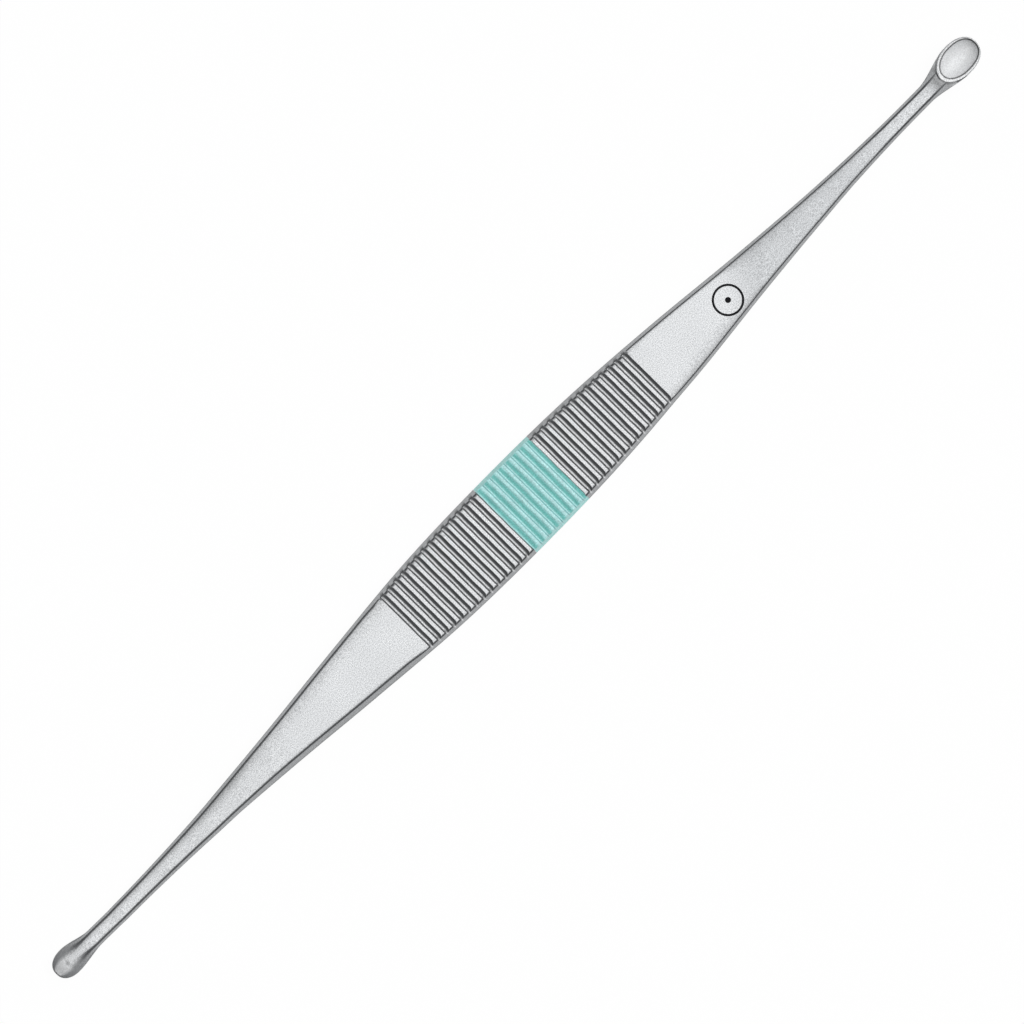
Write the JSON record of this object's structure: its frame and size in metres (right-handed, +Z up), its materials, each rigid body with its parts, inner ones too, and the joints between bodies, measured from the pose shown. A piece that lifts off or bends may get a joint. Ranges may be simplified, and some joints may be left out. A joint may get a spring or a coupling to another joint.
{
  "type": "double-ended sharp curette",
  "caption": "Slim flat steel hand instrument with a sharp scraping spoon at each end and a cross-serrated grip with a coloured band.",
  "frame": {"origin": "middle of the instrument's length and width, on the underside of the flat grip that it rests on", "axes": "+X towards the large spoon, +Y across the handle, +Z up out of the face that the large spoon opens to"},
  "size_m": [0.13, 0.0088, 0.003],
  "materials": {
    "steel": "fine satin",
    "band": "satin turquoise"
  },
  "bodies": {
    "root": {"handle": "steel", "large_spoon": "steel", "small_spoon": "steel", "colour_band": "band"}
  },
  "joints": []
}
